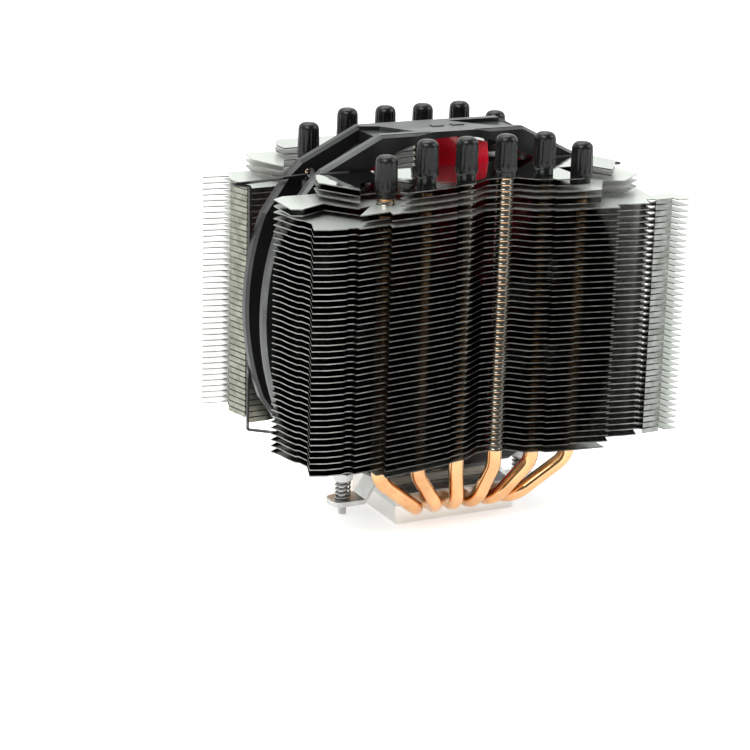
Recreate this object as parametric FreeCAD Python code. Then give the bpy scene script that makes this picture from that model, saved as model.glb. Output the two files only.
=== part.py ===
import FreeCAD, Part
import math
import os

# CPU tower cooler: two fin stacks on six U-shaped heat pipes, with one large fan between the stacks.
# Origin: centre of the base's contact face. +X along the fins, +Y along the fan's air flow, +Z up.
# All sizes are in millimetres.

# Heat pipes
PIPE_RADIUS = 3.0
PIPE_PITCH = 17.1
ROW_Y = 35.3
BASE_PIPE_PITCH = 8.0
BASE_PIPE_Z = 8.0
PIPE_SPREAD_Y = 29.0
PIPE_RISE_Z = 26.0
PIPE_BEND_RADIUS = 10.0
PIPE_COLUMNS = (-2.5, -1.5, -0.5, 0.5, 1.5, 2.5)

# Fins
FIN_THICKNESS = 0.4
FIN_PITCH = 2.45
TOP_FIN_Z = 143.5
TOP_FINS = 2
STEP_FINS = 3
FULL_FINS = 40
FIN_HOLE_RADIUS = 3.05
TAB_THICKNESS = 0.4
TAB_GAP = 0.5
BACK_EDGE = 25.4

# Pipe caps
CAP_HEIGHT = 16.4
CAP_RADIUS = 4.4
CAP_NECK_RADIUS = 3.7
CAP_NECK_HEIGHT = 1.9
CAP_BORE_RADIUS = 3.04
CAP_ROOF = 2.4
FLUTES = 12

# Fan
FAN_Z = 87.0
FAN_FRONT_Y = -8.4
FAN_BACK_Y = 16.3
FAN_HALF_HEIGHT = 70.0
FLAT_TOP_HALF = 31.5
BAND_DEPTH = 15.0
FLANGE = 4.0
FRONT_HALF_WIDTH = 80.5
BACK_HALF_WIDTH = 79.0
BORE_RADIUS = 67.6
BARREL_RADIUS = 70.6
FAN_HOLE_HALF_SPACING = 52.5
FAN_HOLE_RADIUS = 2.15
BEVEL = 1.2
STRUTS = 4
STRUT_WIDTH = 6.0
CUP_RADIUS = 23.0
CUP_FLOOR = 2.0
BLADES = 9
BLADE_THICKNESS = 1.6
BLADE_TIP_RADIUS = 66.2
BLADE_LEAD_Y = -5.0
BLADE_TRAIL_Y = 9.0
BLADE_CAMBER = 2.2
BLADE_LEAD_ANGLE = 14.5
BLADE_TRAIL_ANGLE = -6.0
BLADE_SWEEP = 0.38
HUB_RADIUS = 24.0
HUB_WALL = 1.6
HUB_FRONT_Y = -6.0
HUB_BACK_Y = 11.4
SHAFT_RADIUS = 1.5
SLEEVE_RADIUS = 2.6
HOUSING_RADIUS = 4.2
RUNNING_CLEARANCE = 0.03

# Fan wire clips
WIRE_RADIUS = 0.6
PIVOT_X = 55.0
PIVOT_Y = 10.0
TURN_X = 65.0
RUN_X = 75.7
RUN_Y = 17.4
CLIP_HALF_HEIGHT = 52.5
CLIP_PIN_LENGTH = 5.5
RUN_DROP = 3.1
LEG_GAP = 1.6
LOOP_WIDTH = 2.0
LOOP_DROP = {-1: 3.3, 1: 6.7}
LOOP_REACH = {-1: 82.3, 1: 94.0}

# Base and mounting
PLATE_HALF_X = 27.0
PLATE_HALF_Y = 20.0
COVER_HEIGHT = 4.6
BAR_THICKNESS = 2.0
BAR_CENTRE_Z = 12.65
BAR_ARM_Z = 5.0
BAR_HALF_WIDTH = 5.5
BAR_HALF_LENGTH = 47.0
SCREW_X = 41.0
SCREW_RADIUS = 1.5
SHANK_RADIUS = 2.0
SCREW_HEAD_RADIUS = 3.8
SCREW_HEAD_Z = 15.0
SCREW_TIP_Z = 0.4
SPRING_RADIUS = 2.9
SPRING_WIRE = 0.4

UP = FreeCAD.Vector(0, 0, 1)
BACKWARD = FreeCAD.Vector(0, 1, 0)


def vec(x, y, z):
    return FreeCAD.Vector(x, y, z)


def save(shape, name):
    shape.exportStep("parts/" + name + ".step")
    print(name, "solids", len(shape.Solids), "valid", shape.isValid(), "volume", round(shape.Volume, 1))


def group(shapes):
    return Part.makeCompound(shapes)


def rod(radius, y_start, y_end, x=0.0, z=0.0):
    """A cylinder along Y."""
    return Part.makeCylinder(radius, y_end - y_start, vec(x, y_start, z), BACKWARD)


def ring(outer, inner, y_start, y_end):
    """A round tube along Y."""
    return rod(outer, y_start, y_end).cut(rod(inner, y_start - 1, y_end + 1))


def post(radius, z_start, z_end, x=0.0, y=0.0):
    """A cylinder along Z."""
    return Part.makeCylinder(radius, z_end - z_start, vec(x, y, z_start), UP)


def block(low, high):
    return Part.makeBox(high[0] - low[0], high[1] - low[1], high[2] - low[2], vec(*low))


def bent_wire(points, radius):
    """Straight runs through the points, joined by tangent arcs of one radius."""
    edges = []
    start = points[0]
    for before, corner, after in zip(points, points[1:], points[2:]):
        incoming = (corner - before).normalize()
        outgoing = (after - corner).normalize()
        turn = incoming.getAngle(outgoing)
        setback = radius * math.tan(turn / 2)
        arc_start = corner - incoming * setback
        arc_end = corner + outgoing * setback
        bisector = (outgoing - incoming).normalize()
        middle = corner + bisector * (radius / math.cos(turn / 2) - radius)
        edges.append(Part.LineSegment(start, arc_start).toShape())
        edges.append(Part.Arc(arc_start, middle, arc_end).toShape())
        start = arc_end
    edges.append(Part.LineSegment(start, points[-1]).toShape())
    return Part.Wire(edges)


def tube_along(points, bend_radius, radius):
    """A solid round bar that follows the points."""
    path = bent_wire(points, bend_radius)
    section = Part.Wire(Part.makeCircle(radius, points[0], (points[1] - points[0]).normalize()))
    bar = path.makePipeShell([section], True, True)
    expected = path.Length * math.pi * radius ** 2
    print("bar length", round(path.Length, 1), "volume ratio", round(bar.Volume / expected, 4))
    return bar


# ---------------------------------------------------------------- heat pipes

def fin_z(level):
    """Middle height of a fin, counted down from the top one."""
    return TOP_FIN_Z - level * FIN_PITCH


def cap_floor_z(column):
    """Height of the fin that a pipe's cap stands on: the outer pipes end two fins lower."""
    level = TOP_FINS if abs(column) > 2 else 0
    return fin_z(level) + FIN_THICKNESS / 2


def make_heat_pipe(column):
    """One U-shaped pipe: up the front stack, through the base, up the rear stack."""
    x_stack = column * PIPE_PITCH
    x_base = column * BASE_PIPE_PITCH
    top = cap_floor_z(column) + CAP_HEIGHT - CAP_ROOF - 0.3
    points = [
        vec(x_stack, -ROW_Y, top),
        vec(x_stack, -ROW_Y, PIPE_RISE_Z),
        vec(x_base, -PIPE_SPREAD_Y, BASE_PIPE_Z),
        vec(x_base, PIPE_SPREAD_Y, BASE_PIPE_Z),
        vec(x_stack, ROW_Y, PIPE_RISE_Z),
        vec(x_stack, ROW_Y, top),
    ]
    return tube_along(points, PIPE_BEND_RADIUS, PIPE_RADIUS)


def make_cap():
    """A fluted, domed cap with a narrow neck, standing at the origin."""
    shoulder = CAP_HEIGHT - 2.6
    rim_radius = CAP_RADIUS - 0.25
    outline = [(0, 0), (CAP_NECK_RADIUS, 0), (CAP_NECK_RADIUS, CAP_NECK_HEIGHT),
               (CAP_RADIUS - 0.3, CAP_NECK_HEIGHT + 0.6), (CAP_RADIUS, CAP_NECK_HEIGHT + 2.2),
               (rim_radius, shoulder)]
    points = [vec(radius, 0, z) for radius, z in outline]
    edges = [Part.makeLine(a, b) for a, b in zip(points, points[1:])]
    round_end = vec(rim_radius - 2.3, 0, shoulder + 2.3)
    round_middle = vec(rim_radius - 2.3 + 2.3 * math.sqrt(0.5), 0, shoulder + 2.3 * math.sqrt(0.5))
    crown = vec(0, 0, CAP_HEIGHT)
    edges.append(Part.Arc(points[-1], round_middle, round_end).toShape())
    edges.append(Part.makeLine(round_end, crown))
    edges.append(Part.makeLine(crown, points[0]))
    profile = Part.Wire(edges)
    body = Part.Face(profile).revolve(vec(0, 0, 0), UP, 360)
    body = body.cut(post(CAP_BORE_RADIUS, -1, CAP_HEIGHT - CAP_ROOF))
    flute_low = CAP_NECK_HEIGHT + 2.6
    flute_high = shoulder - 0.6
    for index in range(FLUTES):
        angle = 2 * math.pi * (index + 0.5) / FLUTES
        reach = CAP_RADIUS + 0.45
        flute = post(0.75, flute_low, flute_high, reach * math.cos(angle), reach * math.sin(angle))
        body = body.cut(flute)
    return body


# ---------------------------------------------------------------- fins

# Fin outlines are measured from a stack's own pipe row, front side negative.
# Each is listed from the left rear corner along the front edge to the right rear corner.

BACK_LEFT = [(-74, BACK_EDGE)]
EAR_BACK = [(-79, 22), (-77.3, 17), (-76.7, 12), (-75.4, 6.4), (-74.2, 5.6), (-73.2, 0.5)]
LEFT_WING = [(-77, -10.2), (-71.3, -12.3), (-64.8, -12.9), (-63, -11.9), (-60.8, -12.3), (-60.2, -14.3)]
LEFT_FRONT = [(-46.9, -12.1), (-47.8, -16.2), (-29.8, -13.5)]
MIDDLE_FRONT = [(-17.9, -11.1), (-16.3, -9.9), (-8.5, -8.1), (-1.2, -2.9), (3, -2.6), (5.4, -2.4),
                (7.5, -4.3), (11.5, -3.7), (17.2, -9.3), (23.9, -10.8), (24.8, -12.4), (34.2, -13.9)]
RIGHT_FRONT = [(35.6, -13.1), (51.4, -16.1), (53.2, -11), (62.8, -12.7), (66.8, -13), (69, -7), (71.6, -7)]
RIGHT_WING = [(72.8, -8.6), (80.6, -8.3), (81.5, -11.9), (86.7, -11.6), (85.2, 2), (74.8, -1.7)]
RIGHT_SIDE = [(76, 7), (77.5, 14), (80, 22), (74, BACK_EDGE)]
FULL_RIGHT = LEFT_FRONT + MIDDLE_FRONT + RIGHT_FRONT + RIGHT_WING + RIGHT_SIDE

REAR_HORN = [(-78.5, BACK_EDGE), (-80.5, 19.3), (-69.8, 17.7), (-71.8, 11.2), (-69.3, 0.2), (-71.4, -7)]
REAR_STEP_IN = [(-62.3, -6.8), (-58.4, -5.6), (-56, -9)]
FULL_LEFT = {"front": BACK_LEFT + EAR_BACK + LEFT_WING, "rear": REAR_HORN + REAR_STEP_IN}

NARROW_LOBES = [(-55.6, -4.5), (-50, 7.5), (-36.5, 7.5), (-31, -2), (-43, -12.4), (-41, -15.2),
                (-29.8, -13.5)]
FRONT_EAR = [(-79, 22), (-79.8, 4.4), (-75.6, 2.7), (-64, 9), (-55.5, -3.5), (-49.5, -1),
             (-60.2, -14.3)]
STEP_RIGHT = [(43.5, -14.7), (45, -12), (53, 0), (61, -3), (73.6, 7), (72, 20), (68, BACK_EDGE)]
TOP_RIGHT = [(36.4, -13.2), (36.4, 7.5), (50, 7.5), (55, -3), (66, 12), (62, BACK_EDGE)]

STEP_LEFT = {
    "front": BACK_LEFT + FRONT_EAR + LEFT_FRONT,
    "rear": [(-59.5, BACK_EDGE), (-62, 12.7)] + NARROW_LOBES,
}
TOP_LEFT = {
    "front": [(-61, BACK_EDGE), (-65, 12.7)] + NARROW_LOBES,
    "rear": [(-45, BACK_EDGE), (-48.5, 20.5), (-50.5, 15)] + NARROW_LOBES[1:],
}

BOTTOM_LEFT = [(-50, BACK_EDGE), (-50, -12.6), (-46.9, -12.1), (-47.8, -16.2), (-29.8, -13.5)]
BOTTOM_RIGHT = [(50, -15.8), (50, BACK_EDGE)]

TAB_EDGES = {
    "front": [((72.8, -8.6), (80.6, -8.3)), ((75.1, 0.475), (76, 7))],
    "rear": [((-71.8, 11.2), (-69.3, 0.2)), ((-71.4, -7), (-62.3, -6.8)), ((-62.3, -6.8), (-58.4, -5.6))],
}


def extrude_outline(outline, z_low, height):
    corners = [vec(x, y, z_low) for x, y in outline]
    face = Part.Face(Part.makePolygon(corners + corners[:1]))
    return face.extrude(vec(0, 0, height))


def make_tab(start, end):
    """The strip folded down from one fin edge to close the gap to the fin below."""
    height = FIN_PITCH - FIN_THICKNESS - TAB_GAP
    along = vec(end[0] - start[0], end[1] - start[1], 0).normalize()
    inward = UP.cross(along) * TAB_THICKNESS
    strip = [start, end, (end[0] + inward.x, end[1] + inward.y), (start[0] + inward.x, start[1] + inward.y)]
    return extrude_outline(strip, -FIN_THICKNESS / 2 - height, height)


def make_fin(outline, tab_edges, columns):
    """One fin at height zero with its pipe row on the X axis."""
    fin = extrude_outline(outline, -FIN_THICKNESS / 2, FIN_THICKNESS)
    for start, end in tab_edges:
        fin = fin.fuse(make_tab(start, end))
    fin = fin.removeSplitter()
    for column in columns:
        fin = fin.cut(post(FIN_HOLE_RADIUS, -2, 2, column * PIPE_PITCH))
    return fin


def stack_fins(fin, row_y, first_level, count):
    """A run of identical fins, each its own solid."""
    fins = []
    for level in range(first_level, first_level + count):
        copy = fin.copy()
        copy.translate(vec(0, row_y, fin_z(level)))
        fins.append(copy)
    return group(fins)


def save_fin_stack(side, row_y):
    """The fins of one stack, in four groups from the top down; the front ear starts one fin lower."""
    inner_columns = PIPE_COLUMNS[1:5]
    full_level = TOP_FINS + STEP_FINS
    top_fin = make_fin(TOP_LEFT[side] + MIDDLE_FRONT + TOP_RIGHT, [], inner_columns)
    step_fin = make_fin(STEP_LEFT[side] + MIDDLE_FRONT + STEP_RIGHT, [], PIPE_COLUMNS)
    full_fin = make_fin(FULL_LEFT[side] + FULL_RIGHT, TAB_EDGES[side], PIPE_COLUMNS)
    bottom_fin = make_fin(BOTTOM_LEFT + MIDDLE_FRONT + BOTTOM_RIGHT, [], PIPE_COLUMNS)
    save(stack_fins(top_fin, row_y, 0, TOP_FINS), side + "_fins_top")
    step_fins = stack_fins(step_fin, row_y, TOP_FINS, STEP_FINS)
    if side == "front":
        first_fin = make_fin(TOP_LEFT[side] + MIDDLE_FRONT + STEP_RIGHT, [], PIPE_COLUMNS)
        step_fins = group([stack_fins(first_fin, row_y, TOP_FINS, 1),
                           stack_fins(step_fin, row_y, TOP_FINS + 1, STEP_FINS - 1)])
    save(step_fins, side + "_fins_step")
    save(stack_fins(full_fin, row_y, full_level, FULL_FINS), side + "_fins_full")
    save(stack_fins(bottom_fin, row_y, full_level + FULL_FINS, 1), side + "_fin_bottom")


# ---------------------------------------------------------------- fan

def flange_outline(half_width):
    """Flat top and bottom, cut corners and gently bowed sides, centred on the fan's axis."""
    flat = (FLAT_TOP_HALF, FAN_HALF_HEIGHT)
    cut_top = (56.5, 57.5)
    cut_low = (61.5, 53.0)
    shoulder = (half_width - 7.0, 38.0)
    quarter = [flat, cut_top, cut_low, shoulder]
    right = [Part.makeLine(vec(a[0], 0, a[1]), vec(b[0], 0, b[1])) for a, b in zip(quarter, quarter[1:])]
    bow_low = vec(shoulder[0], 0, -shoulder[1])
    bow = Part.Arc(vec(shoulder[0], 0, shoulder[1]), vec(half_width, 0, 0), bow_low)
    lower = [edge.mirror(vec(0, 0, 0), UP) for edge in reversed(right)]
    side = right + [bow.toShape()] + lower
    other = [edge.mirror(vec(0, 0, 0), vec(1, 0, 0)) for edge in side]
    top = Part.makeLine(vec(-flat[0], 0, flat[1]), vec(flat[0], 0, flat[1]))
    bottom = Part.makeLine(vec(flat[0], 0, -flat[1]), vec(-flat[0], 0, -flat[1]))
    return Part.Wire(Part.__sortEdges__(side + other + [top, bottom]))


def make_plate(half_width, y_start, y_end):
    face = Part.Face(flange_outline(half_width))
    plate = face.extrude(vec(0, y_end - y_start, 0))
    plate.translate(vec(0, y_start, 0))
    return plate


def bevel_rim(plate, y_rim):
    """Chamfers the outer rim of a flange on one face."""
    rim = [edge for edge in plate.Edges if abs(edge.BoundBox.YMin - y_rim) < 1e-4
           and abs(edge.BoundBox.YMax - y_rim) < 1e-4]
    return plate.makeChamfer(BEVEL, rim)


def band_recesses():
    """Sunk corners of the flat bands between the flanges, at the top and at the bottom."""
    front = FAN_FRONT_Y + FLANGE
    back = FAN_BACK_Y - FLANGE
    left = [(-FLAT_TOP_HALF - 1, front), (-FLAT_TOP_HALF - 1, back), (-24, back - 3), (-15, front)]
    right = [(FLAT_TOP_HALF + 1, front), (FLAT_TOP_HALF + 1, back), (8, back), (21, front)]
    shapes = []
    for outline in (left, right):
        for low in (-FAN_HALF_HEIGHT - 1, FAN_HALF_HEIGHT - 1.6):
            shapes.append(extrude_outline(outline, low, 2.6))
    return shapes


def band_marks():
    """Two small raised bars on the upper band."""
    marks = []
    for x in (-4, 5):
        marks.append(block((x, 2.0, FAN_HALF_HEIGHT - 0.2), (x + 5, 5.0, FAN_HALF_HEIGHT + 0.3)))
    return marks


def make_strut(angle):
    """One arm from the motor cup to the barrel, along the back of the fan."""
    low = (-STRUT_WIDTH / 2, FAN_BACK_Y - FLANGE, CUP_RADIUS - 1)
    arm = block(low, (STRUT_WIDTH / 2, FAN_BACK_Y, BORE_RADIUS + 1))
    arm.rotate(vec(0, 0, 0), BACKWARD, angle)
    return arm


def make_clip_socket(side, level):
    """A lug on the barrel with an upright hole for one end of a wire clip."""
    low = min(level * 50.5, level * 42.0)
    high = max(level * 50.5, level * 42.0)
    lug = post(2.2, low, high, side * PIVOT_X, PIVOT_Y)
    bridge = block((0, PIVOT_Y - 1.2, low + 1), (5, PIVOT_Y + 1.2, high - 1))
    bridge.translate(vec(side * PIVOT_X - 2.5 - side * 2.5, 0, 0))
    return lug.fuse(bridge)


def make_fan_frame():
    """Two bevelled flanges joined by a barrel, with struts and the motor cup at the back."""
    front = bevel_rim(make_plate(FRONT_HALF_WIDTH, FAN_FRONT_Y, FAN_FRONT_Y + FLANGE), FAN_FRONT_Y)
    back = bevel_rim(make_plate(BACK_HALF_WIDTH, FAN_BACK_Y - FLANGE, FAN_BACK_Y), FAN_BACK_Y - FLANGE)
    barrel = rod(BARREL_RADIUS, FAN_FRONT_Y, FAN_BACK_Y)
    barrel = barrel.common(make_plate(BACK_HALF_WIDTH, FAN_FRONT_Y, FAN_BACK_Y))
    frame = front.fuse([back, barrel])
    for low in (-FAN_HALF_HEIGHT, FAN_HALF_HEIGHT - BAND_DEPTH):
        band_low = (-FLAT_TOP_HALF, FAN_FRONT_Y + 1, low)
        frame = frame.fuse(block(band_low, (FLAT_TOP_HALF, FAN_BACK_Y - 1, low + BAND_DEPTH)))
    frame = frame.cut(band_recesses()).fuse(band_marks())
    sockets = [make_clip_socket(side, level) for side in (-1, 1) for level in (-1, 1)]
    frame = frame.fuse(sockets)
    frame = frame.cut(rod(BORE_RADIUS, FAN_FRONT_Y - 1, FAN_BACK_Y + 1))
    struts = [make_strut(45 + index * 360 / STRUTS) for index in range(STRUTS)]
    cup = rod(CUP_RADIUS, FAN_BACK_Y - CUP_FLOOR, FAN_BACK_Y)
    rim = ring(CUP_RADIUS, CUP_RADIUS - 1.5, FAN_BACK_Y - FLANGE, FAN_BACK_Y)
    frame = frame.fuse(struts + [cup, rim])
    frame = frame.cut(rod(HOUSING_RADIUS, FAN_BACK_Y - FLANGE - 1, FAN_BACK_Y + 1))
    for x in (-FAN_HOLE_HALF_SPACING, FAN_HOLE_HALF_SPACING):
        for z in (-FAN_HOLE_HALF_SPACING, FAN_HOLE_HALF_SPACING):
            frame = frame.cut(rod(FAN_HOLE_RADIUS, FAN_FRONT_Y - 1, FAN_FRONT_Y + FLANGE + 1, x, z))
            frame = frame.cut(rod(FAN_HOLE_RADIUS, FAN_BACK_Y - FLANGE - 0.5, FAN_BACK_Y + 1, x, z))
    pin_hole = WIRE_RADIUS + 0.05
    pin_end = CLIP_HALF_HEIGHT - CLIP_PIN_LENGTH - 1
    for x in (-PIVOT_X, PIVOT_X):
        frame = frame.cut(post(pin_hole, pin_end, CLIP_HALF_HEIGHT, x, PIVOT_Y))
        frame = frame.cut(post(pin_hole, -CLIP_HALF_HEIGHT, -pin_end, x, PIVOT_Y))
    return frame.removeSplitter()


def blade_section(radius, lead_angle, trail_angle):
    """A curved blade section on a flat plane that faces the hub."""
    steps = 6
    middle = math.radians((lead_angle + trail_angle) / 2)
    half_span = radius * math.tan(math.radians((lead_angle - trail_angle) / 2))
    outward = vec(math.sin(middle), 0, math.cos(middle)) * radius
    across = vec(math.cos(middle), 0, -math.sin(middle))
    near = []
    far = []
    for step in range(steps + 1):
        share = step / steps
        y = BLADE_LEAD_Y + (BLADE_TRAIL_Y - BLADE_LEAD_Y) * share - BLADE_CAMBER * math.sin(math.pi * share)
        half = BLADE_THICKNESS / 2 * (0.35 + 0.65 * math.sin(math.pi * share))
        place = outward + across * (half_span * (1 - 2 * share))
        near.append(place + vec(0, y - half, 0))
        far.append(place + vec(0, y + half, 0))
    far.reverse()
    outline = near + far
    return Part.makePolygon(outline + outline[:1])


def make_blade():
    """One swept blade: its leading edge leans back towards the hub."""
    sections = []
    for radius in (HUB_RADIUS - 1.0, 38, 52, BLADE_TIP_RADIUS + 2):
        sweep = (BLADE_TIP_RADIUS - radius) * BLADE_SWEEP
        sections.append(blade_section(radius, BLADE_LEAD_ANGLE + sweep, BLADE_TRAIL_ANGLE + sweep * 0.8))
    blade = Part.makeLoft(sections, True, True)
    return blade.common(rod(BLADE_TIP_RADIUS, HUB_FRONT_Y - 5, HUB_BACK_Y + 5))


def make_impeller():
    """The hub cup and its blades, all one moulding."""
    hub = rod(HUB_RADIUS, HUB_FRONT_Y, HUB_BACK_Y)
    inside = rod(HUB_RADIUS - HUB_WALL, HUB_FRONT_Y + HUB_WALL, HUB_BACK_Y + 1)
    blade = make_blade()
    blades = []
    for index in range(BLADES):
        copy = blade.copy()
        copy.rotate(vec(0, 0, 0), BACKWARD, index * 360 / BLADES)
        blades.append(copy)
    boss = rod(4.0, HUB_FRONT_Y + HUB_WALL, HUB_FRONT_Y + HUB_WALL + 2.5)
    wheel = hub.fuse(blades)
    wheel = wheel.cut(inside).fuse(boss)
    return wheel.cut(rod(SHAFT_RADIUS, HUB_FRONT_Y + 0.8, HUB_BACK_Y))


def make_stator():
    """A laminated core with four poles."""
    core = rod(8.0, 0, 8)
    for index in range(4):
        arm = block((-3, 0, 6), (3, 8, 16))
        shoe = ring(18.4, 15.6, 0, 8).common(block((-9.5, -1, 12), (9.5, 9, 20)))
        pole = arm.fuse(shoe)
        pole.rotate(vec(0, 0, 0), BACKWARD, index * 90)
        core = core.fuse(pole)
    return core.cut(rod(HOUSING_RADIUS + 0.02, -1, 9)).removeSplitter()


def make_windings():
    """Four coils, one round each pole."""
    coils = []
    for index in range(4):
        coil = block((-5.5, -1.2, 8.8), (5.5, 9.2, 14.4)).cut(block((-3.05, -0.05, 8), (3.05, 8.05, 16)))
        coil.rotate(vec(0, 0, 0), BACKWARD, index * 90)
        coils.append(coil)
    return group(coils)


def make_circuit_board():
    board = ring(20.0, HOUSING_RADIUS + 0.05, 11.5, 12.5)
    chip = block((-4, 10.6, 11.0), (0, 11.5, 14.5))
    return board.fuse(chip)


def place_fan(shape):
    shape.translate(vec(0, 0, FAN_Z))
    return shape


def save_fan():
    save(place_fan(make_fan_frame()), "fan_frame")
    save(place_fan(make_impeller()), "impeller")
    back = FAN_BACK_Y - CUP_FLOOR
    housing = ring(HOUSING_RADIUS - 0.02, SLEEVE_RADIUS + 0.01, -0.5, FAN_BACK_Y - 0.2)
    save(place_fan(housing), "bearing_housing")
    sleeve = ring(SLEEVE_RADIUS, SHAFT_RADIUS + RUNNING_CLEARANCE, 0, back - 0.5)
    save(place_fan(sleeve), "sleeve_bearing")
    groove = ring(SHAFT_RADIUS + 1, SHAFT_RADIUS - 0.4, back + 0.4, back + 1.0)
    shaft = rod(SHAFT_RADIUS - 0.01, HUB_FRONT_Y + 0.85, back + 1.5).cut(groove)
    save(place_fan(shaft), "fan_shaft")
    keeper = ring(2.2, SHAFT_RADIUS - 0.37, back + 0.5, back + 0.9)
    save(place_fan(keeper), "shaft_ring")
    save(place_fan(make_stator()), "stator_core")
    save(place_fan(make_windings()), "stator_windings")
    save(place_fan(make_circuit_board()), "fan_circuit_board")
    cup_radius = HUB_RADIUS - HUB_WALL
    steel = ring(cup_radius - 0.02, cup_radius - 1.0, HUB_FRONT_Y + HUB_WALL + 0.1, HUB_BACK_Y - 0.6)
    save(place_fan(steel), "rotor_steel_ring")
    magnet = ring(cup_radius - 1.02, cup_radius - 3.2, -0.5, HUB_BACK_Y - 1.0)
    save(place_fan(magnet), "rotor_magnet")
    label = rod(19.0, HUB_FRONT_Y - 0.25, HUB_FRONT_Y - 0.02)
    save(place_fan(label), "hub_label")


def make_fan_pads():
    """Four soft pads between the fan's front face and the front fins."""
    pads = []
    front_gap = -ROW_Y + BACK_EDGE
    for x in (-58, 46):
        for z in (-57, 45):
            pad = block((x, front_gap + 0.02, z + FAN_Z), (x + 12, FAN_FRONT_Y - 0.02, z + 12 + FAN_Z))
            hole_x = math.copysign(FAN_HOLE_HALF_SPACING, x)
            hole_z = math.copysign(FAN_HOLE_HALF_SPACING, z) + FAN_Z
            pads.append(pad.cut(rod(FAN_HOLE_RADIUS, front_gap - 1, FAN_FRONT_Y + 1, hole_x, hole_z)))
    return group(pads)


def make_wire_clip(side):
    """A bent wire with upright ends in the frame's sockets, a long run behind the frame and a pull loop."""
    inner = side * PIVOT_X
    turn = side * TURN_X
    outer = side * RUN_X
    loop = side * LOOP_REACH[side]
    top = FAN_Z + CLIP_HALF_HEIGHT
    bottom = FAN_Z - CLIP_HALF_HEIGHT
    loop_z = top - LOOP_DROP[side]
    points = [
        vec(inner, PIVOT_Y, top - CLIP_PIN_LENGTH),
        vec(inner, PIVOT_Y, top),
        vec(turn, PIVOT_Y, top - 0.6),
        vec(outer, RUN_Y, top - RUN_DROP),
        vec(loop, RUN_Y, loop_z),
        vec(loop, RUN_Y + LOOP_WIDTH, loop_z - 0.5),
        vec(outer, RUN_Y, top - RUN_DROP - LEG_GAP),
        vec(outer, RUN_Y, bottom + 0.5),
        vec(turn, PIVOT_Y, bottom),
        vec(inner, PIVOT_Y, bottom),
        vec(inner, PIVOT_Y, bottom + CLIP_PIN_LENGTH),
    ]
    return tube_along(points, 0.8, WIRE_RADIUS)


# ---------------------------------------------------------------- base and mounting

def pipe_grooves():
    """Round channels for the pipes through the base."""
    radius = PIPE_RADIUS + RUNNING_CLEARANCE
    return [rod(radius, -PLATE_HALF_Y - 1, PLATE_HALF_Y + 1, column * BASE_PIPE_PITCH, BASE_PIPE_Z)
            for column in PIPE_COLUMNS]


def base_screw_places():
    x = PLATE_HALF_X - 2.4
    y = PLATE_HALF_Y - 3.5
    return [(-x, -y), (-x, y), (x, -y), (x, y)]


def make_base_plate():
    """The contact plate, polished below and grooved above."""
    plate = block((-PLATE_HALF_X, -PLATE_HALF_Y, 0), (PLATE_HALF_X, PLATE_HALF_Y, BASE_PIPE_Z - 0.02))
    rim = [edge for edge in plate.Edges if edge.BoundBox.ZMax < 0.01]
    plate = plate.makeChamfer(0.6, rim).cut(pipe_grooves())
    for x, y in base_screw_places():
        plate = plate.cut(post(1.03, 3.0, BASE_PIPE_Z + 1, x, y))
    return plate


def make_base_cover():
    """The upper block that holds the pipes down, with cooling ribs cut across its ends."""
    top = BASE_PIPE_Z + COVER_HEIGHT
    cover = block((-PLATE_HALF_X, -PLATE_HALF_Y, BASE_PIPE_Z), (PLATE_HALF_X, PLATE_HALF_Y, top))
    rim = [edge for edge in cover.Edges if edge.BoundBox.ZMin > top - 0.01]
    cover = cover.makeChamfer(0.6, rim).cut(pipe_grooves())
    for y in (-16.5, -13.0, -9.5, 9.5, 13.0, 16.5):
        cover = cover.cut(block((-19, y - 0.7, top - 1.0), (19, y + 0.7, top + 1)))
    for x, y in base_screw_places():
        cover = cover.cut(post(1.2, BASE_PIPE_Z - 1, top + 1, x, y))
        cover = cover.cut(post(2.1, top - 1.6, top + 1, x, y))
    return cover.cut(post(1.53, BASE_PIPE_Z + 3.3, top + 1))


def make_base_screws():
    """Four countersunk-style screws that join the plate and the cover."""
    top = BASE_PIPE_Z + COVER_HEIGHT
    screws = []
    for x, y in base_screw_places():
        shank = post(1.0, 3.2, top - 1.5, x, y)
        head = post(2.0, top - 1.58, top - 0.1, x, y)
        socket = post(0.9, top - 0.9, top, x, y)
        screws.append(shank.fuse(head).cut(socket))
    return group(screws)


def make_cross_bar():
    """A flat steel bar that presses on the cover, with lowered arms and a hole at each end."""
    centre_x = 28.5
    arm_x = 33.5
    upper = [(-BAR_HALF_LENGTH, BAR_ARM_Z), (-arm_x, BAR_ARM_Z), (-centre_x, BAR_CENTRE_Z),
             (centre_x, BAR_CENTRE_Z), (arm_x, BAR_ARM_Z), (BAR_HALF_LENGTH, BAR_ARM_Z)]
    lifted = [(x, z + BAR_THICKNESS) for x, z in reversed(upper)]
    corners = [vec(x, -BAR_HALF_WIDTH, z) for x, z in upper + lifted]
    bar = Part.Face(Part.makePolygon(corners + corners[:1])).extrude(vec(0, 2 * BAR_HALF_WIDTH, 0))
    ends = [edge for edge in bar.Edges if edge.BoundBox.XLength < 0.01 and edge.BoundBox.YLength < 0.01
            and abs(edge.BoundBox.XMin) > BAR_HALF_LENGTH - 1]
    bar = bar.makeFillet(4.0, ends)
    bar = bar.cut(post(2.05, BAR_CENTRE_Z - 1, BAR_CENTRE_Z + 4))
    for x in (-SCREW_X, SCREW_X):
        bar = bar.cut(post(SHANK_RADIUS + 0.05, BAR_ARM_Z - 1, BAR_ARM_Z + 4, x))
    return bar


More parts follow.
